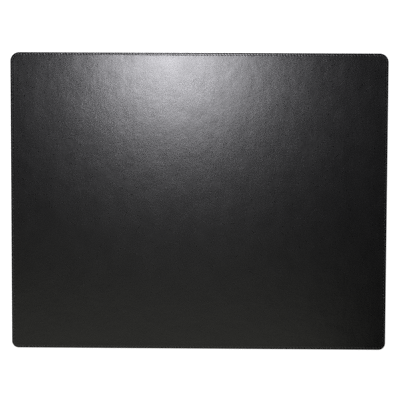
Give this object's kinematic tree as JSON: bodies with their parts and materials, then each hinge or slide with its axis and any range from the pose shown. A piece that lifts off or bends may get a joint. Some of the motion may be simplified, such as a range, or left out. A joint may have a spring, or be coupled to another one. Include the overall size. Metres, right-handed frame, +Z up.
{
  "type": "desk mat",
  "caption": "Flat leather desk mat with rounded corners, a turned and stitched edge, a stiff core and a felt underside, to write and work on.",
  "frame": {"origin": "centre of the underside, on the surface that the mat lies on", "axes": "+X along the long side, +Y across the mat to its rear edge, +Z up through the leather face"},
  "size_m": [0.6096, 0.4826, 0.004],
  "materials": {
    "cover_leather": "satin",
    "board": "matte",
    "felt": "matte",
    "thread": "satin"
  },
  "bodies": {
    "root": {"top_cover": "cover_leather", "core_board": "board", "felt_backing": "felt", "needle_thread": "thread", "bobbin_thread": "thread"}
  },
  "joints": []
}
